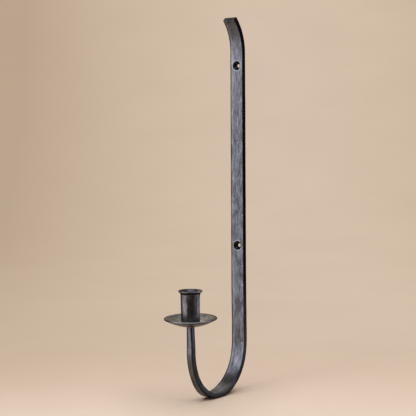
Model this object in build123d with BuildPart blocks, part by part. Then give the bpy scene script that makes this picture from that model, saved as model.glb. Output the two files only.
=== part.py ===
from build123d import *
from math import cos, hypot, radians, sin
import os

# A hand-forged iron wall holder for one candle, in millimetres.
# The wall is the plane Y = 0 and the holder hangs on its room side, towards -Y.
# The origin is on the wall, halfway between the two screws, and Z points up.
os.makedirs("parts", exist_ok=True)

# Wall bar: the strap that lies flat on the wall
strap_width = 23.4
strap_thickness = 6.8
strap_width_under_curl = 22.7
strap_arris = 1.0

# Screw holes, countersunk from the front
screw_spacing = 266.0
screw_hole_radius = 2.75
countersink_radius = 6.65
countersink_angle = 82.0
screw_drill_depth = 13.6

# Curl: the top end, bent forward off the wall
curl_above_screw = 19.4
curl_radius = 66.0
curl_angle = 45.7
curl_tip_width = 21.1
curl_tip_softening = 0.8

# Hook: the turn under the strap, half an oval
hook_below_screw = 140.4
hook_drop = 72.2
hook_reach_to_bottom = 62.6
hook_reach_to_stem = 55.8
drawing_starts = 65.0
drawing_ends = 155.0

# Stem: the end of the bar, drawn down to a small square
stem_root_width = 10.9
stem_top_width = 8.9
stem_thickness = 8.6
stem_arris = 1.8
stem_height = 37.6

# Tenon: the round end of the stem, riveted flush into a countersink in the cup's floor
tenon_radius = 2.5
tenon_clearance = 0.1
rivet_spread = 1.2
rivet_cone_angle = 90.0
tenon_drill_depth = 4.0

# Drip pan
pan_radius = 37.7
pan_depth = 10.6
pan_thickness = 1.5
pan_seat_margin = 0.2
pan_bulge = 0.9
pan_bead_radius = 1.1
pan_rim_slope = 33.0

# Candle cup
candle_bore_radius = 11.6
cup_foot_wall = 1.9
cup_neck_wall = 2.4
cup_height = 48.4
flare_height = 4.4
flare_overhang = 3.2
cup_lip = 1.3
cup_lip_softening = 0.5
flare_bend = 2.0

# Cup floor, a disc brazed into a shallow rebate in the foot of the cup
floor_thickness = 2.0
floor_rebate = 0.4
braze_gap = 0.05

# Sections along the curved stretches of the bar
curl_steps = 6
hook_steps = 18

# Places that follow from the sizes
strap_middle_y = -strap_thickness / 2
curl_start_z = screw_spacing / 2 + curl_above_screw
hook_top_z = -screw_spacing / 2 - hook_below_screw
hook_bottom_y = strap_middle_y - hook_reach_to_bottom
stem_y = hook_bottom_y - hook_reach_to_stem
stem_top_z = hook_top_z + stem_height
cup_foot_z = stem_top_z + pan_thickness
floor_top_z = cup_foot_z + floor_thickness
cup_rim_z = cup_foot_z + cup_height
cup_foot_radius = candle_bore_radius + cup_foot_wall
cup_neck_radius = candle_bore_radius + cup_neck_wall
cup_rim_radius = cup_neck_radius + flare_overhang
tenon_hole_radius = tenon_radius + tenon_clearance
wall_plane = Plane(origin=(0, 0, 0), x_dir=(1, 0, 0), z_dir=(0, -1, 0))
cup_axis = Axis((0, stem_y, 0), (0, 0, 1))
cup_profile_plane = Plane(origin=(0, stem_y, 0), x_dir=(1, 0, 0), z_dir=(0, -1, 0))


def eased(share):
    """A share from 0 to 1 that starts and ends without a kink."""
    share = min(max(share, 0.0), 1.0)
    return share * share * (3.0 - 2.0 * share)


def between(start, end, share):
    return start + (end - start) * share


def across_bar(y, z, along_y, along_z):
    """A plane square to the bar at a point of its middle line."""
    return Plane(origin=(0, y, z), x_dir=(1, 0, 0), z_dir=(0, along_y, along_z))


def curl_plane(angle):
    turn = radians(angle)
    y = strap_middle_y - curl_radius * (1.0 - cos(turn))
    z = curl_start_z + curl_radius * sin(turn)
    return across_bar(y, z, -sin(turn), cos(turn))


def hook_plane(angle):
    """Square to the hook, from 0 degrees at the strap through 90 at the bottom to 180 at the stem."""
    turn = radians(angle)
    reach = hook_reach_to_bottom if angle <= 90.0 else hook_reach_to_stem
    y = hook_bottom_y + reach * cos(turn)
    z = hook_top_z - hook_drop * sin(turn)
    along_y = reach * sin(turn)
    along_z = hook_drop * cos(turn)
    length = hypot(along_y, along_z)
    return across_bar(y, z, along_y / length, along_z / length)


# Wall bar: one forging from the tip of the curl to the riveted tenon
with BuildPart() as wall_bar:
    # Strap, a straight run that narrows a little towards the curl, flat on the wall
    with BuildSketch(wall_plane):
        with BuildLine():
            Polyline(
                (-strap_width / 2, hook_top_z),
                (strap_width / 2, hook_top_z),
                (strap_width_under_curl / 2, curl_start_z),
                (-strap_width_under_curl / 2, curl_start_z),
                close=True,
            )
        make_face()
    extrude(amount=strap_thickness)
    long_edges = wall_bar.edges().sort_by(SortBy.LENGTH)[-4:]
    fillet(long_edges, radius=strap_arris)

    # Curl, an arc that leaves the wall and grows out of the strap's top end
    curl_sections = [wall_bar.faces().sort_by(Axis.Z)[-1]]
    for step in range(1, curl_steps + 1):
        share = step / curl_steps
        with BuildSketch(curl_plane(curl_angle * share), mode=Mode.PRIVATE) as section:
            width = between(strap_width_under_curl, curl_tip_width, share)
            RectangleRounded(width, strap_thickness, strap_arris)
        curl_sections.append(section.sketch)
    loft(curl_sections)

    # Hook, where the strap is drawn down in width and left a little thicker
    hook_sections = [wall_bar.faces().sort_by(Axis.Z)[0]]
    for step in range(1, hook_steps + 1):
        angle = 180.0 * step / hook_steps
        drawn = eased((angle - drawing_starts) / (drawing_ends - drawing_starts))
        with BuildSketch(hook_plane(angle), mode=Mode.PRIVATE) as section:
            width = between(strap_width, stem_root_width, drawn)
            thickness = between(strap_thickness, stem_thickness, drawn)
            arris = between(strap_arris, stem_arris, drawn)
            RectangleRounded(width, thickness, arris)
        hook_sections.append(section.sketch)
    loft(hook_sections)

    # Stem, straight up under the pan
    with BuildSketch(across_bar(stem_y, hook_top_z, 0, -1)):
        RectangleRounded(stem_root_width, stem_thickness, stem_arris)
    with BuildSketch(across_bar(stem_y, stem_top_z, 0, -1)):
        RectangleRounded(stem_top_width, stem_thickness, stem_arris)
    loft()

    # Tenon with its spread end, a cone that fills the countersink in the cup's floor
    with BuildSketch(cup_profile_plane):
        with BuildLine():
            Polyline(
                (0, stem_top_z),
                (tenon_radius, stem_top_z),
                (tenon_radius, floor_top_z - rivet_spread),
                (tenon_radius + rivet_spread, floor_top_z),
                (0, floor_top_z),
                close=True,
            )
        make_face()
    revolve(axis=cup_axis)

    # Softened end of the curl
    tip_face = wall_bar.faces().sort_by(Axis.Z)[-1]
    fillet(tip_face.edges(), radius=curl_tip_softening)

    # Countersunk screw holes, drilled from the front of the strap
    with Locations(wall_plane.offset(strap_thickness)):
        with Locations((0, screw_spacing / 2), (0, -screw_spacing / 2)):
            CounterSinkHole(
                radius=screw_hole_radius,
                counter_sink_radius=countersink_radius,
                depth=screw_drill_depth,
                counter_sink_angle=countersink_angle,
            )
wall_bar.part.label = "wall_bar"

# Drip pan: a dished round of sheet with a flat seat and a rolled bead round its rim
with BuildPart() as drip_pan:
    with BuildSketch(cup_profile_plane):
        seat_radius = cup_foot_radius + pan_seat_margin
        seat_top_z = stem_top_z + pan_thickness
        bead_x = pan_radius - pan_bead_radius
        bead_z = stem_top_z + pan_depth
        half_sheet = pan_thickness / 2
        lean_x = half_sheet * sin(radians(pan_rim_slope))
        lean_z = half_sheet * cos(radians(pan_rim_slope))
        with BuildLine():
            Line((tenon_hole_radius, stem_top_z), (seat_radius, stem_top_z))
            SagittaArc((seat_radius, stem_top_z), (bead_x + lean_x, bead_z - lean_z), -pan_bulge)
            Line((bead_x + lean_x, bead_z - lean_z), (bead_x - lean_x, bead_z + lean_z))
            SagittaArc((bead_x - lean_x, bead_z + lean_z), (seat_radius, seat_top_z), pan_bulge)
            Line((seat_radius, seat_top_z), (tenon_hole_radius, seat_top_z))
            Line((tenon_hole_radius, seat_top_z), (tenon_hole_radius, stem_top_z))
        make_face()
        with Locations((bead_x, bead_z)):
            Circle(pan_bead_radius)
    revolve(axis=cup_axis)
drip_pan.part.label = "drip_pan"

# Candle cup: a tube that swells a little to its neck and flares out at the mouth
with BuildPart() as candle_cup:
    with BuildSketch(cup_profile_plane) as cup_section:
        with BuildLine():
            neck_z = cup_rim_z - flare_height
            throat_z = cup_rim_z - flare_overhang - cup_lip / 2
            Polyline(
                (candle_bore_radius, floor_top_z),
                (candle_bore_radius + floor_rebate, floor_top_z),
                (candle_bore_radius + floor_rebate, cup_foot_z),
                (cup_foot_radius, cup_foot_z),
                (cup_neck_radius, neck_z),
                (cup_rim_radius, cup_rim_z - cup_lip),
                (cup_rim_radius, cup_rim_z),
                (cup_rim_radius - cup_lip, cup_rim_z),
                (candle_bore_radius, throat_z),
                close=True,
            )
        make_face()
        bends = cup_section.vertices().filter_by_position(Axis.Y, neck_z, throat_z)
        fillet(bends, radius=flare_bend)
    revolve(axis=cup_axis)
    outer_lip = candle_cup.edges().filter_by(GeomType.CIRCLE).sort_by(SortBy.RADIUS)[-2:]
    fillet(outer_lip, radius=cup_lip_softening)
candle_cup.part.label = "candle_cup"

# Cup floor: a disc with a countersunk hole that the spread end of the tenon fills
with BuildPart() as cup_floor:
    with BuildSketch(Plane(origin=(0, stem_y, cup_foot_z))):
        Circle(candle_bore_radius + floor_rebate - braze_gap)
    extrude(amount=floor_thickness)
    with Locations((0, stem_y, floor_top_z)):
        CounterSinkHole(
            radius=tenon_hole_radius,
            counter_sink_radius=tenon_hole_radius + rivet_spread,
            depth=tenon_drill_depth,
            counter_sink_angle=rivet_cone_angle,
        )
cup_floor.part.label = "cup_floor"

for piece in (wall_bar, drip_pan, candle_cup, cup_floor):
    export_step(piece.part, f"parts/{piece.part.label}.step")
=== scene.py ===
# %% [markdown]
# # A hand-forged wall holder for one candle
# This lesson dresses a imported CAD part, so that it looks like the real ironwork. The part has four
# pieces: one long forged bar, a dished drip pan, a candle cup and the small floor inside the cup. The
# CAD says where each one is and how large it is. Here each gets the surface that the smith left on it.

# %% Load the frame
from math import asin, atan2, ceil, cos, floor, hypot, pi, radians, sin, sqrt, tan

import bmesh
import bpy
from mathutils import Matrix, Vector, noise


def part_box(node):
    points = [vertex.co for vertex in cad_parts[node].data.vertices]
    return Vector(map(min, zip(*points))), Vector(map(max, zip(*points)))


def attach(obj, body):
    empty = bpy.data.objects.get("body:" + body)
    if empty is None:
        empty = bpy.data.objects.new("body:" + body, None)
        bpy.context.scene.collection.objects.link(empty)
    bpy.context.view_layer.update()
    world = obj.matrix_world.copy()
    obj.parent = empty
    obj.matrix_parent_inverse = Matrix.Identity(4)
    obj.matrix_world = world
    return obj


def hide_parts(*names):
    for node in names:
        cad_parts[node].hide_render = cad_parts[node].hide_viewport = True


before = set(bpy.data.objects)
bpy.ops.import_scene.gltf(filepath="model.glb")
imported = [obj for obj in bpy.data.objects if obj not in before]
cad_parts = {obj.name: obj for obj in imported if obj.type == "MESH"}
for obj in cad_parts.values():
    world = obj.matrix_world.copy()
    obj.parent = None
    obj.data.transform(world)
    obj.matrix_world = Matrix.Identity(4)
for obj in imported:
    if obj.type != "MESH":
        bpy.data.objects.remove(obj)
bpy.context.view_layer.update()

# %% [markdown]
# ## Sizes
# Blender works in metres, and a smith thinks in millimetres, so every size below is in millimetres and
# `MM` turns it to metres when a mesh is finished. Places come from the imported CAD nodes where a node's
# box can give them. The path of the bent bar can't be read from a box, so its bends are stated here as
# they are in the drawing.

# %% Sizes read from the CAD
MM = 0.001


def box_mm(node):
    """The lowest and the highest corner of a CAD node, in millimetres."""
    low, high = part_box(node)
    return low / MM, high / MM


bar_low = box_mm("wall_bar")[0]
pan_low, pan_high = box_mm("drip_pan")
cup_low, cup_high = box_mm("candle_cup")
floor_low, floor_high = box_mm("cup_floor")
print("the pan is", round(pan_high.x - pan_low.x, 1), "mm wide")

# %% Sizes of the bar, as on the drawing
strap_width = 23.4
strap_width_under_curl = 22.7
curl_tip_width = 21.1
strap_thickness = 6.8
strap_arris = 1.0
curl_start = 152.4
curl_radius = 66.0
curl_angle = 45.7
curl_tip_softening = 0.8
hook_top = -273.4
hook_drop = 72.2
hook_reach_to_bottom = 62.6
hook_reach_to_stem = 55.8
drawing_starts = 65.0
drawing_ends = 155.0
stem_root_width = 10.9
stem_top_width = 8.9
stem_thickness = 8.6
stem_arris = 1.8
screw_heights = (133.0, -133.0)
screw_hole_radius = 2.75
countersink_radius = 6.65
countersink_angle = 82.0

strap_middle = -strap_thickness / 2
hook_bottom = strap_middle - hook_reach_to_bottom
stem_middle = hook_bottom - hook_reach_to_stem
stem_top = pan_low.z
curl_run = curl_radius * radians(curl_angle)
hook_run = pi * (hook_reach_to_bottom + hook_reach_to_stem + 2 * hook_drop) / 4
stem_run = stem_top - hook_top
blank_top = curl_start + curl_run
stem_start = hook_top - hook_run
blank_end = stem_start - stem_run
print("straight blank in mm:", round(blank_top - blank_end, 1))

# %% [markdown]
# ## The camera
# The picture was taken from the right of the holder and a little above its middle. The camera turns
# round a target point on the object: an angle to the side, a small drop, a slight roll and a distance
# say it all. The lens is long, so the strap's two edges stay nearly parallel.

# %% Camera
camera_side_angle = radians(36.786)
camera_drop_angle = radians(4.087)
camera_roll = radians(-0.391)
camera_distance = 1423.18
camera_target = Vector((0.24, -79.38, -72.58))
lens_length = 86.239
sensor_width = 36.0

forward = Vector(
    (
        -sin(camera_side_angle) * cos(camera_drop_angle),
        cos(camera_side_angle) * cos(camera_drop_angle),
        -sin(camera_drop_angle),
    )
)
level = Vector((cos(camera_side_angle), sin(camera_side_angle), 0.0))
upward = level.cross(forward)
camera_right = cos(camera_roll) * level + sin(camera_roll) * upward
camera_up = cos(camera_roll) * upward - sin(camera_roll) * level

camera_data = bpy.data.cameras.new("camera")
camera_data.lens = lens_length
camera_data.sensor_width = sensor_width
camera = bpy.data.objects.new("camera", camera_data)
turn = Matrix((camera_right, camera_up, -forward)).transposed().to_4x4()
camera.matrix_world = Matrix.Translation((camera_target - forward * camera_distance) * MM) @ turn
bpy.context.scene.collection.objects.link(camera)
bpy.context.scene.camera = camera
print("camera at", [round(c, 3) for c in camera.matrix_world.translation])

# %% [markdown]
# ## The bar: from a straight blank to a hook
# A smith doesn't forge a bent bar. The bar is first drawn down while it is straight, then hammered and
# drilled, and bent last. This piece is made in that order, and it pays: while the blank is straight,
# its width, its corners and its hammer marks are simple functions of one height, and a drill is a
# straight cutter. The blank stands where its strap will be, so bending leaves the strap alone.
#
# The blank is a cube that gets long rounded corners from `bevel`, columns from `bisect_plane` and rings
# from `subdivide_edges`. A few closer rings at the top let the tip's corners be rounded.

# %% The straight blank
column_step = 1.1
side_step = 1.0
ring_step = 0.9
arris_segments = 4
tip_rings = (0.08, 0.2, 0.38, 0.6)


def cut_across(bm, point, direction):
    """Cuts every face of the bmesh along a plane."""
    everything = bm.verts[:] + bm.edges[:] + bm.faces[:]
    bmesh.ops.bisect_plane(bm, geom=everything, plane_co=point, plane_no=direction)


def even_cuts(half_length, step):
    """Places from minus to plus half the length, both ends left out, about a step apart."""
    count = ceil(2 * half_length / step)
    return [half_length * (2 * i / count - 1) for i in range(1, count)]


def long_edges(bm):
    """The edges that run along the bar."""
    return [e for e in bm.edges if abs(e.verts[0].co.z - e.verts[1].co.z) > 1]


def straight_blank():
    """A straight bar with rounded corners, as wide as the strap everywhere."""
    bm = bmesh.new()
    bmesh.ops.create_cube(bm, size=1.0)
    length = blank_top - blank_end
    bmesh.ops.scale(bm, verts=bm.verts, vec=(strap_width, strap_thickness, length))
    middle = (0, strap_middle, (blank_top + blank_end) / 2)
    bmesh.ops.translate(bm, verts=bm.verts, vec=middle)
    bmesh.ops.bevel(
        bm,
        geom=long_edges(bm),
        offset=strap_arris,
        segments=arris_segments,
        profile=0.5,
        affect="EDGES",
        material=-1,
    )
    for x in even_cuts(strap_width / 2 - strap_arris, column_step):
        cut_across(bm, (x, 0, 0), (1, 0, 0))
    for y in even_cuts(strap_thickness / 2 - strap_arris, side_step):
        cut_across(bm, (0, strap_middle + y, 0), (0, 1, 0))
    rings = int(length / ring_step)
    bmesh.ops.subdivide_edges(bm, edges=long_edges(bm), cuts=rings, use_grid_fill=True)
    for depth in tip_rings:
        cut_across(bm, (0, 0, blank_top - depth), (0, 0, 1))
    return bm


blank = straight_blank()
print("faces of the straight blank:", len(blank.faces))

# %% [markdown]
# ## Drawing the blank down
# Over the hook, the strap is drawn from a wide flat bar to a small square one, and its corners get
# rounder. A corner must not be squeezed with the width, so a point is moved in two parts: within the
# flat, and within the corner. The height says how far along the bar a point is, and so how wide and how
# thick the bar is there. One helper, `fade`, makes every change that has no kink at its ends.

# %% Section of the bar at each height
def between(start, end, share):
    """The value that lies a share of the way from start to end."""
    return start + (end - start) * share


def fade(value, start, end):
    """From 0 at start to 1 at end, whichever is higher, without a kink at either."""
    share = min(max((value - start) / (end - start), 0.0), 1.0)
    return share * share * (3.0 - 2.0 * share)


def hook_angle(height):
    """Degrees round the hook, from 0 at the strap to 180 at the stem."""
    return 180.0 * (hook_top - height) / hook_run


def bar_section(height):
    """Width, thickness and corner radius of the bar at a height of the straight blank."""
    if height > curl_start:
        share = (height - curl_start) / curl_run
        return between(strap_width_under_curl, curl_tip_width, share), strap_thickness, strap_arris
    if height > hook_top:
        share = (height - hook_top) / (curl_start - hook_top)
        return between(strap_width, strap_width_under_curl, share), strap_thickness, strap_arris
    if height < stem_start:
        share = (stem_start - height) / stem_run
        return between(stem_root_width, stem_top_width, share), stem_thickness, stem_arris
    drawn = fade(hook_angle(height), drawing_starts, drawing_ends)
    width = between(strap_width, stem_root_width, drawn)
    thickness = between(strap_thickness, stem_thickness, drawn)
    return width, thickness, between(strap_arris, stem_arris, drawn)


def redrawn(place, half, arris, new_half, new_arris):
    """Moves a place across the bar from the old half width and corner to the new ones."""
    inner = half - arris
    new_inner = new_half - new_arris
    if abs(place) <= inner:
        return place / inner * new_inner
    past = (abs(place) - inner) / arris
    return (new_inner + past * new_arris) * (1 if place > 0 else -1)


for height in (blank_top, 0.0, hook_top - hook_run / 2, blank_end):
    print("at", round(height), "the section is", [round(size, 1) for size in bar_section(height)])

# %% [markdown]
# ## Hammer marks
# Each blow of a hammer leaves a shallow dish, and the dishes overlap. A Voronoi pattern gives the same:
# every point belongs to its nearest blow, and its depth falls off with the distance to it. Longer swells
# under the dishes come from Perlin noise. The marks lie about the CAD surface, so the bar keeps its mean
# size: a `rise` lifts the ridges as far out as the dishes go in. The back lies on the wall, so there the
# marks only go inwards.

# %% Hammer marks as depths in millimetres
ridge_sharpness = 2.2
face_blow = (9.0, 1.0, 15.0)
face_swell = (14.0, 1.0, 34.0)
face_blow_depth = 0.10
face_swell_depth = 0.16
face_rise = 0.11
side_blow = (7.0, 1.0, 17.0)
side_swell = (1.0, 1.0, 46.0)
side_blow_depth = 0.14
side_swell_depth = 0.30
side_rise = 0.22


def pattern_place(place, size, seed):
    """A place in a pattern whose cells have a size. Another seed gives another part of the pattern."""
    return Vector((place[0] / size[0], place[1] / size[1], place[2] / size[2] + seed))


def blows(place, size, seed):
    """From 1 at the middle of a hammer blow to 0 at the ridges between blows."""
    nearest = noise.voronoi(pattern_place(place, size, seed), distance_metric="DISTANCE")[0][0]
    return 1.0 - min(nearest * nearest * ridge_sharpness, 1.0)


def swell(place, size, seed):
    """Slow waves from 0 to 1."""
    return 0.5 + 0.5 * noise.noise(pattern_place(place, size, seed))


def face_depth(x, height):
    """How far the hammer pressed a point of a wide face in."""
    blow = blows((x, 0.0, height), face_blow, seed=3.1)
    wave = swell((x, 0.0, height), face_swell, seed=7.7)
    return face_blow_depth * blow + face_swell_depth * wave - face_rise


def side_depth(y, height, side):
    """How far the hammer pressed a point of a narrow side in. The two sides got their own blows."""
    blow = blows((y, 0.0, height), side_blow, seed=21.0 * side)
    wave = swell((0.0, 0.0, height), side_swell, seed=13.0 * side)
    return side_blow_depth * blow + side_swell_depth * wave - side_rise


depths = [face_depth(0.0, height) for height in range(-250, 130)]
print("depth of the marks down the strap in mm:", round(min(depths), 2), "to", round(max(depths), 2))

# %% Draw the blank down and hammer it
hook_clearance = 0.03
back_share = 0.5


def soft_end(distance, radius):
    """How far a rounded end has drawn in at a distance below the tip."""
    if distance >= radius:
        return 0.0
    return radius - sqrt(max(radius * radius - (radius - distance) ** 2, 0.0))


def forge(bm):
    """Gives every point of the straight blank its place in the forged section."""
    for vert in bm.verts:
        x, y, height = vert.co
        width, thickness, arris = bar_section(height)
        across = redrawn(x, strap_width / 2, strap_arris, width / 2, arris)
        through = redrawn(y - strap_middle, strap_thickness / 2, strap_arris, thickness / 2, arris)
        out_x = max((abs(across) - (width / 2 - arris)) / arris, 0.0)
        out_y = max((abs(through) - (thickness / 2 - arris)) / arris, 0.0)
        end = soft_end(blank_top - height, curl_tip_softening)
        on_back = through > 0 and height > hook_top - 2 * hook_drop
        press_x = side_depth(through, height, 1 if across > 0 else 2) * out_x + end * out_x
        pressed = face_depth(across, height)
        if on_back:
            pressed = max(pressed, 0.0) * back_share + (hook_clearance if height < hook_top else 0.0)
        press_y = (pressed + end) * out_y
        across -= press_x * (1 if across > 0 else -1)
        through -= press_y * (1 if through > 0 else -1)
        vert.co = (across, strap_middle + through, height)


forge(blank)
print("hammered points of the bar:", len(blank.verts))

# %% [markdown]
# ## Drilling and the tenon
# The two screw holes are countersunk with a drill, so each cutter is turned with `spin` from half its
# outline, and a Boolean modifier takes it away. The round tenon at the bar's other end is turned the
# same way and joined with a second Boolean. It passes through the pan and the cup's floor, and its
# spread end fills the countersink there.

# %% Turned shapes
merge_distance = 1e-4


def spin_round(bm, geometry, centre, axis, steps):
    """Spins part of a bmesh once round an axis, and closes its seam and poles."""
    bmesh.ops.spin(
        bm,
        geom=geometry,
        cent=centre,
        axis=axis,
        angle=2 * pi,
        steps=steps,
        use_merge=True,
    )
    bmesh.ops.remove_doubles(bm, verts=bm.verts, dist=merge_distance)
    bmesh.ops.recalc_face_normals(bm, faces=bm.faces)


def turned(bm, outline, centre, axis, steps):
    """Spins an outline of (radius, distance along the axis) points into a closed shape."""
    axis = Vector(axis)
    outward = axis.orthogonal().normalized()
    verts = [bm.verts.new(Vector(centre) + outward * r + axis * d) for r, d in outline]
    edges = [bm.edges.new(pair) for pair in zip(verts, verts[1:])]
    if outline[0][0] > 0 and outline[-1][0] > 0:
        edges.append(bm.edges.new((verts[-1], verts[0])))
    spin_round(bm, verts + edges, centre, axis, steps)


print("turned shapes close within", merge_distance, "mm")

# %% Screw drill
drill_run_out = 3.0
drill_steps = 64
burr_width = 0.35
burr_depth = 0.12
cone_depth = (countersink_radius - screw_hole_radius) / tan(radians(countersink_angle / 2))


def screw_drill():
    """Both countersink drills, which point from the room to the wall."""
    bm = bmesh.new()
    outline = (
        (0.0, drill_run_out),
        (countersink_radius + burr_width, drill_run_out),
        (countersink_radius + burr_width, 0.0),
        (countersink_radius, -burr_depth),
        (screw_hole_radius, -cone_depth),
        (screw_hole_radius, -strap_thickness - drill_run_out),
        (0.0, -strap_thickness - drill_run_out),
    )
    for height in screw_heights:
        turned(bm, outline, (0, -strap_thickness, height), (0, -1, 0), drill_steps)
    return bm


print("depth of the countersinks in mm:", round(cone_depth, 2))

# %% Tenon
tenon_radius = 2.5
tenon_root = 2.0
tenon_steps = 40
rivet_spread = 1.2
tenon_reach = floor_high.z - stem_top


def rivet_tenon():
    """The tenon below the straight blank, with its spread end lowest."""
    bm = bmesh.new()
    outline = (
        (0.0, tenon_root),
        (tenon_radius, tenon_root),
        (tenon_radius, rivet_spread - tenon_reach),
        (tenon_radius + rivet_spread, -tenon_reach),
        (tenon_radius, -tenon_reach),
        (0.0, -tenon_reach),
    )
    turned(bm, outline, (0, strap_middle, blank_end), (0, 0, 1), tenon_steps)
    return bm


print("length of the tenon in mm:", round(tenon_reach, 2))

# %% Drill the bar and join the tenon
def mesh_object(name, bm):
    """A scene object that holds the bmesh's shape."""
    mesh = bpy.data.meshes.new(name)
    bm.to_mesh(mesh)
    bm.free()
    thing = bpy.data.objects.new(name, mesh)
    bpy.context.scene.collection.objects.link(thing)
    return thing


def combine(piece, tool, operation):
    """Applies one Boolean with a tool object, and removes the tool."""
    modifier = piece.modifiers.new(operation, "BOOLEAN")
    modifier.operation = operation
    modifier.solver = "EXACT"
    modifier.object = tool
    depsgraph = bpy.context.evaluated_depsgraph_get()
    mesh = bpy.data.meshes.new_from_object(piece.evaluated_get(depsgraph))
    piece.modifiers.clear()
    piece.data = mesh
    bpy.data.objects.remove(tool)


forged_bar = mesh_object("forged_bar", blank)
combine(forged_bar, mesh_object("screw_drill", screw_drill()), "DIFFERENCE")
combine(forged_bar, mesh_object("rivet_tenon", rivet_tenon()), "UNION")
print("points of the drilled bar:", len(forged_bar.data.vertices))

# %% [markdown]
# ## Bending
# Above the strap the bar bends forward along an arc, and below it round half an oval. `bend` takes a
# point of the straight blank to its place on the bent bar: the height picks a place and a direction on
# the middle line, and the distance from the middle line is kept. Before that, each point keeps its
# straight place in an attribute, so that the grain of the finish can follow the bends.

# %% Middle line of the bent bar
def middle_line(height):
    """Place (y, z) on the bent middle line, and the direction (y, z) towards the front face."""
    if height > curl_start:
        angle = (height - curl_start) / curl_radius
        place = (strap_middle - curl_radius * (1 - cos(angle)), curl_start + curl_radius * sin(angle))
        return place, (-cos(angle), -sin(angle))
    if height > hook_top:
        return (strap_middle, height), (-1.0, 0.0)
    angle = radians(hook_angle(height))
    if angle >= pi:
        return (stem_middle, hook_top + (stem_start - height)), (1.0, 0.0)
    reach = hook_reach_to_bottom if angle < pi / 2 else hook_reach_to_stem
    along = Vector((-reach * sin(angle), -hook_drop * cos(angle))).normalized()
    place = (hook_bottom + reach * cos(angle), hook_top - hook_drop * sin(angle))
    return place, (along.y, -along.x)


bottom_of_hook = middle_line(hook_top - hook_run / 2)[0]
print("middle line at the hook's lowest point in mm:", [round(c, 1) for c in bottom_of_hook])

# %% Bend the bar
hook_drift = 0.6
drift_run = 100.0
turn_drift = 0.7
turn_drift_grows = (5.0, 30.0)
turn_drift_fades = (85.0, 40.0)


def sideways(height):
    """How far the bar wanders to the right of the strap's middle, as a bar bent by eye does."""
    angle = hook_angle(height)
    into_hook = fade(height, hook_top + drift_run, hook_top)
    up_the_stem = fade(height, stem_start, blank_end)
    turning = fade(angle, *turn_drift_grows) * fade(angle, *turn_drift_fades)
    return hook_drift * into_hook * (1.0 - up_the_stem) + turn_drift * turning


def bend(mesh):
    """Bends the straight bar, keeps each point's straight place, and turns millimetres to metres."""
    straight = mesh.attributes.new("straight", "FLOAT_VECTOR", "POINT")
    for vert in mesh.vertices:
        x, y, height = vert.co
        straight.data[vert.index].vector = (x, y, height)
        x += sideways(height)
        (middle_y, middle_z), (front_y, front_z) = middle_line(height)
        forward_by = strap_middle - y
        vert.co = Vector((x, middle_y + front_y * forward_by, middle_z + front_z * forward_by)) * MM


bend(forged_bar.data)
heights = [vert.co.z / MM for vert in forged_bar.data.vertices]
print("forged_bar goes from", round(min(heights), 1), "to", round(max(heights), 1), "mm")

# %% [markdown]
# ## The drip pan
# The pan is a round of sheet iron, sunk into a hollow in a wood block, with its rim rolled over to a
# bead. It is turned from one closed outline with `spin`: flat seat, two arcs for the dish, and most of a
# circle for the bead. No hand-sunk pan is quite true, so a few slow waves move its rim by a fraction of
# a millimetre, and faint dishes show where the planishing hammer went round. It isn't quite level
# either: it leans down a little to the front left.

# %% Outline of the pan
pan_radius = (pan_high.x - pan_low.x) / 2
pan_thickness = 1.5
pan_seat_radius = 13.7
pan_bulge = 0.9
pan_bead_radius = 1.1
pan_rim_slope = radians(33.0)
pan_bead_centre = (pan_radius - pan_bead_radius, pan_high.z - pan_low.z - pan_bead_radius)
tenon_hole_radius = 2.6
dish_steps = 24
bead_steps = 20
seat_steps = 6


def arc_points(start, end, bulge, steps):
    """Points of an arc from start to end that stands a bulge off its chord, both ends included."""
    start = Vector(start)
    end = Vector(end)
    chord = end - start
    half = chord.length / 2
    radius = (half * half + bulge * bulge) / (2 * abs(bulge))
    side = Vector((-chord.y, chord.x)).normalized() * (1 if bulge > 0 else -1)
    centre = (start + end) / 2 + side * (abs(bulge) - radius)
    first = start - centre
    sweep = 2 * asin(half / radius) * (-1 if bulge > 0 else 1)
    points = []
    for i in range(steps + 1):
        t = sweep * i / steps
        turned_by = Vector((first.x * cos(t) - first.y * sin(t), first.x * sin(t) + first.y * cos(t)))
        points.append(tuple(centre + turned_by))
    return points


def pan_outline():
    """The closed half section of the pan, from the tenon hole out along the underside and back."""
    bead_x, bead_z = pan_bead_centre
    spread = asin(pan_thickness / 2 / pan_bead_radius)
    bead_start = pi + pan_rim_slope + spread
    bead_sweep = 2 * pi - 2 * spread
    bead = []
    for i in range(bead_steps + 1):
        angle = bead_start + bead_sweep * i / bead_steps
        bead.append((bead_x + pan_bead_radius * cos(angle), bead_z + pan_bead_radius * sin(angle)))
    under = arc_points((pan_seat_radius, 0.0), bead[0], -pan_bulge, dish_steps)
    over = arc_points(bead[-1], (pan_seat_radius, pan_thickness), pan_bulge, dish_steps)
    seat = [between(tenon_hole_radius, pan_seat_radius, i / seat_steps) for i in range(seat_steps)]
    outline = [(r, 0.0) for r in seat] + under + bead[1:-1] + over
    return outline + [(r, pan_thickness) for r in reversed(seat)]


print("points of the pan's outline:", len(pan_outline()))

# %% Dished pan
pan_steps = 144
pan_sunk_by = 0.06
pan_tilt_rise = 0.42
pan_high_side = radians(65.0)
rim_wave_depth = 0.10
pan_blow = (7.0, 7.0, 1.0)
pan_blow_depth = 0.04
rim_drawn_in = 0.12


def pan_lean(angle):
    """How far the rim lies below the drawing at an angle round the pan, which isn't quite level."""
    return pan_sunk_by + pan_tilt_rise * (1.0 - cos(angle - pan_high_side))


def round_noise(angle, waves, ring):
    """Noise from -1 to 1 that goes round without a seam. Another ring has other noise."""
    return noise.noise(Vector((cos(angle) * waves, sin(angle) * waves, ring)))


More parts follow.
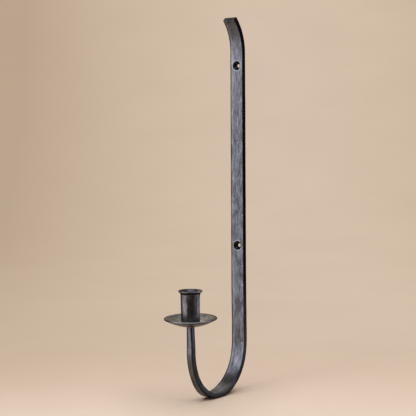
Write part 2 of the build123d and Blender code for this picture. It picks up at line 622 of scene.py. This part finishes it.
def make_pan():
    """The pan, turned and then marked and tilted as handwork leaves it."""
    bm = bmesh.new()
    turned(bm, pan_outline(), (0, stem_middle, stem_top), (0, 0, 1), pan_steps)
    for vert in bm.verts:
        out = Vector((vert.co.x, vert.co.y - stem_middle))
        rim_share = max(out.length - pan_seat_radius, 0.0) / (pan_radius - pan_seat_radius)
        angle = atan2(out.y, out.x)
        blow = blows((out.x, out.y, 0.0), pan_blow, seed=5.5)
        wave = round_noise(angle, waves=1.3, ring=4.2)
        drop = rim_wave_depth * wave + pan_blow_depth * blow + pan_lean(angle)
        inward = rim_drawn_in * (0.5 + 0.5 * round_noise(angle, waves=2.0, ring=9.0))
        pull = out / max(out.length, 1.0) * inward * rim_share
        vert.co -= Vector((pull.x, pull.y, drop * rim_share))
        vert.co *= MM
    return mesh_object("dished_pan", bm)


dished_pan = make_pan()
print("points of the pan:", len(dished_pan.data.vertices))

# %% [markdown]
# ## The candle cup
# The cup is a short tube, closed by hammering over a mandrel, so it has long upright flats that don't
# quite match, and a mouth flared over the anvil's edge. Its outline is turned with `spin`. The flats come
# next: going round, the wall is drawn in wherever it is far from an edge between two flats. Their edges
# wander a little as they go up, as hand-made ones do.

# %% Section of the cup
bore_radius = 11.6
cup_foot_radius = 13.5
cup_neck_radius = 14.0
cup_rim_radius = (cup_high.x - cup_low.x) / 2
floor_rebate = 0.4
flare_height = 4.4
flare_overhang = 3.2
cup_lip = 1.3
flare_bend = 2.0
bend_segments = 6
lip_softening = 0.5
lip_segments = 4
wall_rings = 40


def round_corners(bm, corners, offset, segments):
    """Rounds the corners of a flat outline that stand at the given (radius, height) places."""
    picked = [v for v in bm.verts if any(hypot(v.co.x - r, v.co.z - z) < 0.01 for r, z in corners)]
    bmesh.ops.bevel(
        bm,
        geom=picked,
        offset=offset,
        segments=segments,
        profile=0.5,
        affect="VERTICES",
        material=-1,
    )


def cup_section():
    """The closed half section of the cup, with its two bends and its lip rounded by bevel."""
    bm = bmesh.new()
    flare_start = (cup_neck_radius, cup_high.z - flare_height)
    throat = (bore_radius, cup_high.z - flare_overhang - cup_lip / 2)
    lip = (
        (cup_rim_radius, cup_high.z - cup_lip),
        (cup_rim_radius, cup_high.z),
        (cup_rim_radius - cup_lip, cup_high.z),
    )
    corners = (
        (bore_radius, floor_high.z),
        (bore_radius + floor_rebate, floor_high.z),
        (bore_radius + floor_rebate, cup_low.z),
        (cup_foot_radius, cup_low.z),
        flare_start,
        *lip,
        throat,
    )
    verts = [bm.verts.new((r, 0.0, z)) for r, z in corners]
    edges = [bm.edges.new((a, b)) for a, b in zip(verts, verts[1:] + verts[:1])]
    outer_wall = edges[3]
    bore_wall = edges[8]
    bmesh.ops.subdivide_edges(bm, edges=[outer_wall, bore_wall], cuts=wall_rings)
    round_corners(bm, (flare_start, throat), flare_bend / 2, bend_segments)
    round_corners(bm, lip, lip_softening, lip_segments)
    return bm


section = cup_section()
print("points of the cup's section:", len(section.verts))

# %% Hammered cup
cup_steps = 160
cup_flats = 11
flat_depth = 0.40
flat_phase = radians(-72.2)
edge_wander = 0.22
wander_height = 14.0
dent_size = (6.5, 1.0, 9.0)
dent_depth = 0.10
dents_above = 0.3
flare_blend = 5.0
wall_swell = (0.6, 0.6, 1.0)
wall_swell_depth = 0.10
wall_swell_height = 20.0
hammered_wall = (0.3, 1.1)
rim_swell = (0.7, 0.7, 1.0)
rim_wave = 0.18
rim_wave_fades = (6.0, 1.0)


def draw_in(radius, angle, height):
    """How far the hammer drew a point of the cup's outside in, at a height above the cup's foot."""
    wander = edge_wander * round_noise(angle, waves=1.6, ring=height / wander_height)
    flats = (angle - flat_phase) / (2 * pi) * cup_flats + wander
    from_edge = abs(flats - floor(flats) - 0.5) * 2
    flare_start = cup_high.z - cup_low.z - flare_height
    below_flare = fade(height, flare_start, flare_start - flare_blend)
    flat = flat_depth * (1 - from_edge * from_edge) * below_flare
    dent = dent_depth * blows((angle * radius, 0.0, height), dent_size, seed=15.0)
    dent *= between(dents_above, 1.0, below_flare)
    around = (cos(angle), sin(angle), height / wall_swell_height)
    swelling = wall_swell_depth * swell(around, wall_swell, seed=2.0)
    outside = fade(radius - bore_radius, *hammered_wall)
    return (flat + dent + swelling) * outside


def make_cup(bm):
    """The cup, turned from its section and then hammered."""
    spin_round(bm, bm.verts[:] + bm.edges[:], (0, 0, 0), (0, 0, 1), cup_steps)
    for vert in bm.verts:
        radius = hypot(vert.co.x, vert.co.y)
        angle = atan2(vert.co.y, vert.co.x)
        shrink = 1.0 - draw_in(radius, angle, vert.co.z - cup_low.z) / radius
        vert.co.x *= shrink
        vert.co.y *= shrink
        near_rim = fade(cup_high.z - vert.co.z, *rim_wave_fades)
        vert.co.z -= rim_wave * swell((cos(angle), sin(angle), 0.0), rim_swell, seed=31.0) * near_rim
        vert.co.y += stem_middle
        vert.co *= MM
    return mesh_object("hammered_cup", bm)


hammered_cup = make_cup(section)
print("points of the cup:", len(hammered_cup.data.vertices))

# %% [markdown]
# ## The cup's floor
# A disc lies in the foot of the cup, and the candle stands on it. Little of it shows, only its top when
# someone looks down into the cup, so it is turned from a short outline and gets its shape from a few
# hammer marks round the rivet. They fade out towards the rivet and towards the wall.

# %% Cup floor
floor_radius = (floor_high.x - floor_low.x) / 2
floor_rings = 8
floor_steps = 96
rivet_blow = (4.5, 4.5, 1.0)
rivet_blow_depth = 0.16
marks_start = (4.5, 6.5)
marks_margin = 1.5


def make_floor():
    """The disc, with a countersink for the rivet and hammer marks on its top."""
    bm = bmesh.new()
    thickness = floor_high.z - floor_low.z
    countersink = tenon_hole_radius + rivet_spread
    rings = [between(countersink, floor_radius, i / floor_rings) for i in range(floor_rings + 1)]
    outline = [(tenon_hole_radius, 0.0), (floor_radius, 0.0)]
    outline += [(r, thickness) for r in reversed(rings)]
    outline.append((tenon_hole_radius, thickness - rivet_spread))
    turned(bm, outline, (0, stem_middle, floor_low.z), (0, 0, 1), floor_steps)
    for vert in bm.verts:
        x = vert.co.x
        y = vert.co.y - stem_middle
        away = hypot(x, y)
        if vert.co.z > floor_high.z - 0.1:
            ring_share = fade(away, *marks_start) * fade(away, floor_radius, floor_radius - marks_margin)
            vert.co.z -= rivet_blow_depth * blows((x, y, 0.0), rivet_blow, seed=8.0) * ring_share
        vert.co *= MM
    return mesh_object("riveted_floor", bm)


riveted_floor = make_floor()
print("points of the floor:", len(riveted_floor.data.vertices))

# %% [markdown]
# ## Colours and nodes
# A hex colour is written the way that a screen shows it, in sRGB, and a shader wants it linear. One
# function turns one into the other. A second function adds a shader node with its settings and links,
# so that a material reads as a short list.
#
# Sockets without a clear name go by number. Map Range takes its value at 0, its old ends at 1 and 2 and
# its new ends at 3 and 4. A colour Mix takes its share at 0 and its two colours at 6 and 7, and gives
# its colour at output 2. Math takes its values at 0, 1 and 2.

# %% Colour and node helpers
def srgb(hex_code):
    """A hex colour such as "#4a4a4d" as linear red, green, blue and alpha."""
    shares = [int(hex_code[i : i + 2], 16) / 255 for i in (1, 3, 5)]
    return [s / 12.92 if s <= 0.04045 else ((s + 0.055) / 1.055) ** 2.4 for s in shares] + [1.0]


def add_node(tree, kind, settings=None, links=None):
    """Adds a node. A setting is an attribute, or an input socket by its name or number."""
    node = tree.nodes.new("ShaderNode" + kind)
    for name, value in (settings or {}).items():
        if isinstance(name, str) and hasattr(node, name):
            setattr(node, name, value)
        else:
            node.inputs[name].default_value = value
    for name, source in (links or {}).items():
        tree.links.new(source, node.inputs[name])
    return node


def new_material(name):
    """An empty material with its node tree and its output node."""
    material = bpy.data.materials.new(name)
    material.use_nodes = True
    material.node_tree.nodes.clear()
    output = material.node_tree.nodes.new("ShaderNodeOutputMaterial")
    return material, material.node_tree, output


def object_place(tree):
    """The socket of a point's place on its object, in millimetres."""
    source = add_node(tree, "TexCoord").outputs["Object"]
    return add_node(tree, "VectorMath", {"operation": "SCALE", "Scale": 1 / MM}, {0: source}).outputs[0]


print("mid grey #808080 is", round(srgb("#808080")[0], 3), "in linear light")

# %% [markdown]
# ## Blackened iron
# The bar is mild steel, worked hot and blackened with oil and wax. Hot iron grows a skin of black scale.
# The wire brush then rubs the wide faces to a dull graphite, in streaks that run along the bar, and
# leaves the narrow sides black, while the hollows are painted black as shade. To the eye it is a dark
# metal with a soft, streaky sheen, so the shader is a metal with a dark colour.
#
# Three noise patterns are stretched along the piece: brush streaks, patches of scale and a fine grain.
# One sum of them drives both colour and gloss, because the brush makes the scale lighter and smoother
# at once. The real grain is finer than a tenth of a millimetre. It is drawn as coarse as it needs to be
# to show in the picture.

# %% Blackened iron
scale_patch = (9.0, 23.4)
grain = (0.5, 5.0)
streak_weight = 1.3
grain_weight = 0.3
worn_range = (1.04, 1.56)
full_highlight_and_rub = 0.6
grain_height = 0.35
relief_height = 0.3
black_scale_and_shade = "#0e0d0d"
highlight_and_rub_grey = "#8f9096"
scale_and_shade_grazing = "#383838"


def forged_iron(name, bent, streak, colours, gloss, grazing, relief, metallic):
    """Blackened iron: dark scale, brushed to lighter streaks, smoother where it is brushed."""
    material, tree, output = new_material(name)
    if bent:
        place = add_node(tree, "Attribute", {"attribute_name": "straight"}).outputs["Vector"]
    else:
        place = object_place(tree)
    patterns = []
    for size, detail, fineness, distortion in (
        (streak, 4.0, 0.62, 0.5),
        (scale_patch, 2.0, 0.5, 0.8),
        (grain, 2.0, 0.6, 0.0),
    ):
        stretch = {"Scale": (1 / size[0], 1 / size[0], 1 / size[1])}
        along = add_node(tree, "Mapping", stretch, {"Vector": place}).outputs[0]
        settings = {"Scale": 1.0, "Detail": detail, "Roughness": fineness, "Distortion": distortion}
        patterns.append(add_node(tree, "TexNoise", settings, {"Vector": along}).outputs[0])
    streaks, patches, grains = patterns
    sum_up = {"operation": "MULTIPLY_ADD"}
    uneven = add_node(tree, "Math", {**sum_up, 1: streak_weight}, {0: streaks, 2: patches}).outputs[0]
    uneven = add_node(tree, "Math", {**sum_up, 1: grain_weight}, {0: grains, 2: uneven}).outputs[0]
    worn = add_node(tree, "MapRange", {1: worn_range[0], 2: worn_range[1]}, {0: uneven}).outputs[0]
    roughness = add_node(tree, "MapRange", {3: gloss[0], 4: gloss[1]}, {0: worn}).outputs[0]
    # The "rub" attribute mixes in a light grey: painted highlights, and a few rubbed nicks. The "scale"
    # attribute mixes in near black with a darker grazing tint: black scale, and painted shade as well.
    rub_and_highlight = add_node(tree, "Attribute", {"attribute_name": "rub_and_highlight"}).outputs["Fac"]
    rubbed_and_highlit = add_node(tree, "Math", {"operation": "MULTIPLY"}, {0: rub_and_highlight, 1: streaks}).outputs[0]
    rubbed_and_highlit = add_node(tree, "MapRange", {2: full_highlight_and_rub}, {0: rubbed_and_highlit}).outputs[0]
    scale = add_node(tree, "Attribute", {"attribute_name": "scale"}).outputs["Fac"]
    dark, light = colours
    blend = {"data_type": "RGBA"}
    colour = add_node(tree, "Mix", {**blend, 6: srgb(dark), 7: srgb(light)}, {0: worn}).outputs[2]
    colour = add_node(tree, "Mix", {**blend, 7: srgb(highlight_and_rub_grey)}, {0: rubbed_and_highlit, 6: colour}).outputs[2]
    colour = add_node(tree, "Mix", {**blend, 7: srgb(black_scale_and_shade)}, {0: scale, 6: colour}).outputs[2]
    tints = {**blend, 6: srgb(grazing), 7: srgb(scale_and_shade_grazing)}
    tint = add_node(tree, "Mix", tints, {0: scale}).outputs[2]
    height = add_node(tree, "Math", {**sum_up, 1: grain_height}, {0: grains, 2: streaks}).outputs[0]
    rises = {"Strength": relief, "Distance": relief_height * MM}
    bump = add_node(tree, "Bump", rises, {"Height": height}).outputs[0]
    links = {"Base Color": colour, "Roughness": roughness, "Specular Tint": tint, "Normal": bump}
    shader = add_node(tree, "BsdfPrincipled", {"Metallic": metallic}, links)
    tree.links.new(shader.outputs[0], output.inputs[0])
    print(name, "nodes:", len(tree.nodes))
    return material


# %% [markdown]
# ## Black scale, painted shade and painted highlights
# Two attributes give every point two shares of its colour: "scale" how near black it is, and "rub" how
# light a grey. Black scale stays on the narrow sides, and the rest of the black is painted shade or a
# painted darker tone. Most of the grey is painted highlight.
#
# On the bar, the narrow sides keep their black scale and the left border is painted dark. The
# countersinks and a strip along the stem's left edge are painted shade, and the bottom of the hook and
# the end of the tip are painted darker than the rest. A thin line inside the left border, the edges of
# the screw holes and a patch where the hook begins are painted highlights, and five small nicks are
# rubbed bright. All of these are easiest to say on the straight blank. The hook's places are in degrees
# round it. A mark has its place across the bar, its height, its size and its strength.

# %% Black scale, painted shade and painted highlights of the bar
border_width = 2.8
border_fades_over = 2.2
border_black = 0.75
# A strip along the stem's left edge is painted shade, as under the pan.
stem_border = 3.1
stem_border_fades_over = 1.0
stem_blend = 8.0
side_edge = (-0.35, 0.1)
hook_side_black = 0.72
hook_side_fades = (-170.0, -280.0)
bottom_black = 0.35
bottom_starts = (42.0, 60.0)
bottom_ends = (100.0, 90.0)
tip_black = 0.35
tip_end = (0.5, 0.1)
# The countersinks are painted near black: painted shade in the recesses.
countersink_painted_shade = 0.8
drilled_radius = countersink_radius + 0.05
# A thin line inside the left border and rings round the screw holes are painted highlights.
line_inset = 3.8
line_width = 1.5
line_strength = 0.45
ring_radius = countersink_radius + 0.6
ring_width = 1.0
mark_stretch = 1.5
# Five small nicks rubbed bright, and last a painted highlight on the hook's inner face.
bright_marks = (
    (9.1, -163.6, 1.3, 2.0),
    (9.0, -191.4, 1.3, 2.0),
    (-7.6, -73.6, 1.3, 2.0),
    (9.0, -87.8, 1.3, 2.0),
    (6.9, -278.7, 1.3, 2.0),
    (1.0, -304.0, 7.0, 0.5),
)


def bar_black_and_shade(x, height, from_hole):
    """How much near black a point of the bar takes: black scale, painted shade and painted darker places.
    """
    width, _, arris = bar_section(height)
    inset = width / 2 + x
    angle = hook_angle(height)
    black = fade((abs(x) - (width / 2 - arris)) / arris, *side_edge)
    if x > 0:
        black *= between(1.0, hook_side_black, fade(height, *hook_side_fades))
    else:
        on_stem = fade(height, stem_start, stem_start - stem_blend)
        border = fade(inset, border_width, border_width - border_fades_over)
        stem_side = fade(inset, stem_border, stem_border - stem_border_fades_over)
        black = max(black, border_black * border, on_stem * stem_side)
    bottom = fade(angle, *bottom_starts) * fade(angle, *bottom_ends)
    tip = fade(blank_top - height, *tip_end)
    black = max(black, bottom_black * bottom, tip_black * tip)
    # Inside the countersinks the painted shade takes over.
    return countersink_painted_shade if from_hole < drilled_radius else black


def bar_wear_shade_and_highlight(straight):
    """Black share and light grey share of a point of the bar, from its place on the straight blank."""
    x, y, height = straight
    from_hole = min(hypot(x, height - hole) for hole in screw_heights)
    black = bar_black_and_shade(x, height, from_hole)
    if y > strap_middle:
        return black, 0.0
    inset = bar_section(height)[0] / 2 + x
    # Painted highlights, and the rubbed nicks.
    rubbed_and_highlit = line_strength * fade(abs(inset - line_inset), line_width, 0.0)
    rubbed_and_highlit = max(rubbed_and_highlit, fade(abs(from_hole - ring_radius), ring_width, 0.0))
    for mark_x, mark_height, size, strength in bright_marks:
        away = hypot(x - mark_x, (height - mark_height) / mark_stretch)
        rubbed_and_highlit = max(rubbed_and_highlit, strength * fade(away, size, 0.0))
    return black, rubbed_and_highlit


middle_wear_shade_and_highlight = bar_wear_shade_and_highlight((0.0, -strap_thickness, 0.0))
print("scale and rub in the middle of the strap:", [round(share, 2) for share in middle_wear_shade_and_highlight])

# %% Painted shade and painted highlight of the pan and the cup
# The pan's bead is painted dark as shade, and its outside at the front, towards the camera, carries a
# painted highlight.
bead_painted_shade = 0.85
bead_painted_highlight = 2.6
bead_starts = (-1.0, -0.5)
bead_outside = (-0.1, 0.2)
bead_upper_half = (-0.35, 0.05)
bead_front = (0.55, 0.95)
# Painted shade under the cup's flare and at its foot.
flare_shade = 0.9
flare_hollow = 3.6
flare_hollow_width = 1.8
foot_shade = 0.8
foot_shade_height = 3.0
cup_outside = (0.8, 1.2)


def pan_painted_shade_and_highlight(place):
    """The pan's bead is painted dark as shade, and the outside of its bead on the camera's side is a
    painted highlight.
    """
    out = Vector((place.x, place.y - stem_middle))
    past_middle = out.length - pan_bead_centre[0]
    above_middle = place.z - stem_top - pan_bead_centre[1] + pan_lean(atan2(out.y, out.x))
    on_bead = fade(past_middle, *bead_starts)
    outside = fade(past_middle, *bead_outside) * fade(above_middle, *bead_upper_half)
    # The painted highlight faces the camera's side.
    front = Vector((sin(camera_side_angle), -cos(camera_side_angle)))
    rubbed_and_highlit = outside * fade(out.normalized().dot(front), *bead_front)
    return bead_painted_shade * on_bead * (1.0 - rubbed_and_highlit), bead_painted_highlight * rubbed_and_highlit


def cup_painted_shade(place):
    """Painted shade in the hollow under the cup's flare, and in the corner where it stands on the pan."""
    outside = fade(hypot(place.x, place.y - stem_middle) - bore_radius, *cup_outside)
    under_flare = flare_shade * fade(abs(cup_high.z - place.z - flare_hollow), flare_hollow_width, 0.0)
    at_foot = foot_shade * fade(place.z - cup_low.z, foot_shade_height, 0.0)
    return outside * max(under_flare, at_foot), 0.0


foot_painted_shade_share = cup_painted_shade(Vector((cup_foot_radius, stem_middle, cup_low.z)))
print("scale and rub at the cup's foot:", [round(share, 2) for share in foot_painted_shade_share])

# %% Paint the scale, shade and highlights on the pieces
def paint_wear_shade_and_highlight(mesh, wear):
    """Writes the two attributes from a function of a point's straight place, or of its place."""
    # scale takes black scale and painted shade, rub takes painted highlights and rubbed nicks.
    scale = mesh.attributes.new("scale", "FLOAT", "POINT").data
    rub_and_highlight = mesh.attributes.new("rub_and_highlight", "FLOAT", "POINT").data
    straight = mesh.attributes["straight"].data if "straight" in mesh.attributes else None
    for vert in mesh.vertices:
        place = straight[vert.index].vector if straight else vert.co / MM
        scale[vert.index].value, rub_and_highlight[vert.index].value = wear(place)
    black_points = sum(point.value > 0.5 for point in scale)
    print(mesh.name, "black points:", black_points, "of", len(mesh.vertices))


paint_wear_shade_and_highlight(forged_bar.data, bar_wear_shade_and_highlight)
paint_wear_shade_and_highlight(dished_pan.data, pan_painted_shade_and_highlight)
paint_wear_shade_and_highlight(hammered_cup.data, cup_painted_shade)

# %% [markdown]
# ## The three finishes
# All three are blackened iron, but each was worked and waxed in its own way. The bar was brushed
# hardest, so it is the most metallic, with long streaks that follow its bends. The pan's wax lies thick
# over browner scale, and it is smooth: part of what it shows is a clear skin over a matt ground, so its
# shader is only partly metal. The cup is brushed along its flats, and its relief is weak, because its
# hammer marks are in its mesh. Pan and cup turn less light back at a grazing angle than bare metal.

# %% The three finishes
bar_finish = forged_iron(
    "blackened_forged_steel",
    bent=True,
    streak=(2.2, 15.0),
    colours=("#454547", "#6a6b6f"),
    gloss=(0.46, 0.36),
    grazing="#ffffff",
    relief=0.35,
    metallic=1.0,
)
pan_finish = forged_iron(
    "waxed_sheet_iron",
    bent=False,
    streak=(4.0, 9.0),
    colours=("#575451", "#7c7975"),
    gloss=(0.36, 0.28),
    grazing="#a0a0a0",
    relief=0.10,
    metallic=0.55,
)
cup_finish = forged_iron(
    "hammered_tube_iron",
    bent=False,
    streak=(3.0, 12.0),
    colours=("#4c4a4b", "#6c6a6c"),
    gloss=(0.40, 0.32),
    grazing="#b0b0b0",
    relief=0.05,
    metallic=0.97,
)

# %% Finish the pieces
corner_angle = radians(40.0)


def finish_piece(piece, material, slot, *nodes):
    """Smooths a piece, keeps its real corners crisp, hangs it under the root and hides the CAD nodes that
    it stands for.
    """
    mesh = piece.data
    mesh.materials.clear()
    mesh.materials.append(material)
    mesh.shade_smooth()
    mesh.set_sharp_from_angle(angle=corner_angle)
    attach(piece, "root")
    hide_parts(*nodes)
    triangles = sum(len(face.vertices) - 2 for face in mesh.polygons)
    print(piece.name, "triangles:", triangles)


finish_piece(forged_bar, bar_finish, "forged_bar", "wall_bar")
finish_piece(dished_pan, pan_finish, "pan_sheet", "drip_pan")
finish_piece(hammered_cup, cup_finish, "cup_tube", "candle_cup")
finish_piece(riveted_floor, cup_finish, "cup_tube", "cup_floor")

# %% [markdown]
# ## Floor and backdrop
# The holder stands on its hook on a warm pale paper that runs up into a wall all round it, like a bowl,
# so that every other view has the same plain background. Near the holder the paper is lit by the lamps
# and carries its shadow. Further off it glows by itself for camera, glossy and transmission rays, in the
# soft warm falloff of a studio backdrop, so the iron mirrors what the camera sees behind it. Faint
# clouds of a hand's size and more keep the paper from looking flat.

# %% Paper bowl
floor_height = bar_low.z
bowl_flat_rings = (0.0, 300.0, 900.0)
bowl_radius = 2600.0
bowl_bend = 900.0
bowl_bend_steps = 16
bowl_height = 2600.0
bowl_segments = 96


def make_bowl():
    """A round floor that bends up into a wall, turned from half its section."""
    bm = bmesh.new()
    outline = [(r, 0.0) for r in bowl_flat_rings]
    for i in range(bowl_bend_steps + 1):
        angle = radians(90 * i / bowl_bend_steps)
        outline.append((bowl_radius - bowl_bend * (1 - sin(angle)), bowl_bend * (1 - cos(angle))))
    outline.append((bowl_radius, bowl_height))
    verts = [bm.verts.new((r, 0, z)) for r, z in outline]
    edges = [bm.edges.new(pair) for pair in zip(verts, verts[1:])]
    spin_round(bm, verts + edges, (0, 0, 0), (0, 0, 1), bowl_segments)
    for vert in bm.verts:
        vert.co = Vector((vert.co.x, vert.co.y + hook_bottom, vert.co.z + floor_height)) * MM
    return mesh_object("floor_and_backdrop", bm)


bowl = make_bowl()
bowl.data.shade_smooth()
print("faces of the bowl:", len(bowl.data.polygons))

# %% Paper
# The paper's colours are painted light: a pool of painted light round the holder and painted shade to
# either side of a bright band, also on the lamp-lit paper near the holder.
painted_pool_paper = "#e6d4c3"
bright_paper = "#d6c1ac"
shaded_paper = "#bca58e"
brightest_aside = 290.0
brightest_line = camera_target + level * brightest_aside
shade_reach = 1000.0
pool_distance = 1000.0
pool_centre = Vector((0, hook_bottom, floor_height)) - forward * pool_distance
pool_reach = (940.0, 1500.0)
pool_softness = 2.0
glow_reach = (1150.0, 1400.0)
cloud_size = (260.0, 260.0, 110.0)
cloud_paper = "#b09a86"
cloud_range = (0.3, 0.7)
cloud_share = 0.10


def paper_finish():
    """Matt paper that glows far from the object, for the rays that see the background."""
    material, tree, output = new_material("warm_matt_paper")
    place = object_place(tree)
    offset = {"operation": "SUBTRACT", 1: brightest_line}
    from_line = add_node(tree, "VectorMath", offset, {0: place}).outputs[0]
    measure = {"operation": "DOT_PRODUCT", 1: level / shade_reach}
    aside = add_node(tree, "VectorMath", measure, {0: from_line}).outputs["Value"]
    shade = add_node(tree, "Math", {"operation": "MULTIPLY"}, {0: aside, 1: aside}).outputs[0]
    measure = {"operation": "DISTANCE", 1: pool_centre}
    reach = add_node(tree, "VectorMath", measure, {0: place}).outputs["Value"]
    pool = {1: pool_reach[0], 2: pool_reach[1], 3: 1.0, 4: 0.0}
    near = add_node(tree, "MapRange", pool, {0: reach}).outputs[0]
    near = add_node(tree, "Math", {"operation": "POWER", 1: pool_softness}, {0: near}).outputs[0]
    blend = {"data_type": "RGBA"}
    papers = {**blend, 6: srgb(bright_paper), 7: srgb(shaded_paper)}
    paper = add_node(tree, "Mix", papers, {0: shade}).outputs[2]
    paper = add_node(tree, "Mix", {**blend, 7: srgb(painted_pool_paper)}, {0: near, 6: paper}).outputs[2]
    spread = {"Scale": [1 / size for size in cloud_size]}
    clouds = add_node(tree, "Mapping", spread, {"Vector": place}).outputs[0]
    clouds = add_node(tree, "TexNoise", {"Scale": 1.0, "Detail": 4.0}, {"Vector": clouds}).outputs[0]
    faint = {1: cloud_range[0], 2: cloud_range[1], 4: cloud_share}
    clouds = add_node(tree, "MapRange", faint, {0: clouds}).outputs[0]
    paper = add_node(tree, "Mix", {**blend, 7: srgb(cloud_paper)}, {0: clouds, 6: paper}).outputs[2]
    path = add_node(tree, "LightPath").outputs
    seen = path["Is Camera Ray"]
    for ray in ("Is Glossy Ray", "Is Transmission Ray"):
        seen = add_node(tree, "Math", {"operation": "MAXIMUM"}, {0: seen, 1: path[ray]}).outputs[0]
    far = add_node(tree, "MapRange", {1: glow_reach[0], 2: glow_reach[1]}, {0: reach}).outputs[0]
    share = add_node(tree, "Math", {"operation": "MULTIPLY"}, {0: far, 1: seen}).outputs[0]
    matt = add_node(tree, "BsdfDiffuse", {}, {"Color": paper}).outputs[0]
    glow = add_node(tree, "Emission", {"Strength": 1.0}, {"Color": paper}).outputs[0]
    mixed = add_node(tree, "MixShader", {}, {0: share, 1: matt, 2: glow})
    tree.links.new(mixed.outputs[0], output.inputs[0])
    print(material.name, "nodes:", len(tree.nodes))
    return material


bowl.data.materials.append(paper_finish())

# %% [markdown]
# ## Lamps for the paper
# The paper is matt, and its lamps give it an even light with a soft shadow: one very large lamp overhead,
# one in front on the left that throws the shadow to the back, and one on the right that lightens that
# shadow. Dark metal asks for other lamps, so these are hidden from glossy rays.

# %% Paper lamps
lamp_centre = Vector((0, hook_bottom, -60.0))


def soft_box(name, azimuth, elevation, distance, size, radiance, colour="#ffffff"):
    """A rectangular lamp that faces the holder. Azimuth 0 is in front of the strap, 90 on its right."""
    turn_to = radians(azimuth)
    lift = radians(elevation)
    away = Vector((sin(turn_to) * cos(lift), -cos(turn_to) * cos(lift), sin(lift)))
    lamp = bpy.data.lights.new(name, "AREA")
    lamp.shape = "RECTANGLE"
    lamp.size = size[0] * MM
    lamp.size_y = size[1] * MM
    lamp.color = srgb(colour)[:3]
    lamp.energy = radiance * pi * lamp.size * lamp.size_y
    thing = bpy.data.objects.new(name, lamp)
    facing = away.to_track_quat("Z", "Y").to_matrix().to_4x4()
    thing.matrix_world = Matrix.Translation((lamp_centre + away * distance) * MM) @ facing
    thing.visible_camera = False
    bpy.context.scene.collection.objects.link(thing)
    return thing


paper_lamps = (
    soft_box("paper_overhead", 30, 80, 1600, (2800, 2800), 2.03),
    soft_box("paper_shadow", -19, 38, 1500, (420, 420), 3.2),
    soft_box("paper_fill", 85, 42, 1500, (500, 500), 2.0),
)
for lamp in paper_lamps:
    lamp.visible_glossy = False
    print(lamp.name, "power in watts:", round(lamp.data.energy, 1))

# %% [markdown]
# ## Lamps for the iron
# Dark metal shows its form only through what it mirrors, so each of these lamps is a bright card for one
# part of it. Three keys and a low card on the left in front are what the strap, the curl and the hook's
# bend mirror towards the camera. One lamp overhead and one high in front light the lips and the upward
# faces. The pan's dish mirrors the two at the back on the left, and the two at the back on the right draw
# the cup's right side and the rims. All are hidden from diffuse rays, so they leave the paper alone.

# %% Iron lamps
iron_lamps = (
    soft_box("front_key", -7, 20, 1050, (270, 380), 3.9, "#e6eeff"),
    soft_box("low_key", -35, -1, 1050, (360, 420), 3.7, "#e4edff"),
    soft_box("high_key", -39, 27, 1050, (760, 480), 3.6, "#e4edff"),
    soft_box("floor_card", -37, -34, 420, (320, 105), 1.9, "#f0f4ff"),
    soft_box("overhead", 30, 84, 1500, (1200, 1200), 1.0, "#f2f5ff"),
    soft_box("front_high", 32, 58, 1300, (700, 700), 2.0, "#e6eeff"),
    soft_box("high_back", 223, 41, 1300, (700, 1000), 2.3, "#fff9f0"),
    soft_box("left_back", 255, 15, 1300, (600, 700), 1.4, "#fff9f0"),
    soft_box("right_fill", 130, 6, 1100, (900, 900), 4.6, "#dde8ff"),
    soft_box("rim", 162, 6, 1200, (700, 900), 2.4, "#e4ecff"),
)
for lamp in iron_lamps:
    lamp.visible_diffuse = False
    print(lamp.name, "power in watts:", round(lamp.data.energy, 2))

# %% [markdown]
# ## The dark side of the studio
# The camera's side of the studio is unlit, and that is what turns the narrow sides and the middle of the
# cup black. A dark cloth stands in for it: it lies on the floor some way in front of the holder and hangs
# in a curve behind the camera. Only glossy and transmission rays see it, so it hides nothing and casts no
# shadow.

# %% Dark cloth
cloth_radius = 1650.0
cloth_starts_at = 300.0
cloth_start = radians(14.0)
cloth_sweep = radians(88.0)
cloth_steps = 40
cloth_height = 1900.0
cloth_clearance = 3.0


def make_cloth():
    """A cloth on the floor and behind the camera, turned from its section by part of a circle."""
    bm = bmesh.new()
    outward = Vector((sin(cloth_start), -cos(cloth_start), 0))
    section = (
        outward * cloth_starts_at + Vector((0, 0, cloth_clearance)),
        outward * cloth_radius + Vector((0, 0, cloth_clearance)),
        outward * cloth_radius + Vector((0, 0, cloth_height)),
    )
    verts = [bm.verts.new(place) for place in section]
    edges = [bm.edges.new(pair) for pair in zip(verts, verts[1:])]
    bmesh.ops.spin(
        bm,
        geom=verts + edges,
        cent=(0, 0, 0),
        axis=(0, 0, 1),
        angle=cloth_sweep,
        steps=cloth_steps,
    )
    for vert in bm.verts:
        vert.co = (vert.co + Vector((0, hook_bottom, floor_height))) * MM
    return mesh_object("dark_cloth", bm)


cloth = make_cloth()
print("faces of the cloth:", len(cloth.data.polygons))

# %% Finish of the cloth
cloth_grey = "#e0dcd8"
cloth_glow = 0.035

cloth_finish, tree, output = new_material("unlit_studio_cloth")
dim = add_node(tree, "Emission", {"Color": srgb(cloth_grey), "Strength": cloth_glow})
tree.links.new(dim.outputs[0], output.inputs[0])
cloth.data.materials.append(cloth_finish)
cloth.visible_camera = False
cloth.visible_diffuse = False
cloth.visible_shadow = False
print(cloth_finish.name, "on", cloth.name)

# %% [markdown]
# ## The world and the view
# The bowl is open at the top, so a dim grey world stands in for the studio's ceiling. The view transform
# is Standard, which shows the paper and the iron in the colours that were given here.

# %% World and view
world_grey = "#8a8078"
world_strength = 0.3

world = bpy.data.worlds.new("studio")
world.use_nodes = True
background = world.node_tree.nodes["Background"]
background.inputs[0].default_value = srgb(world_grey)
background.inputs[1].default_value = world_strength
bpy.context.scene.world = world
bpy.context.scene.view_settings.view_transform = "Standard"
print("view transform:", bpy.context.scene.view_settings.view_transform)
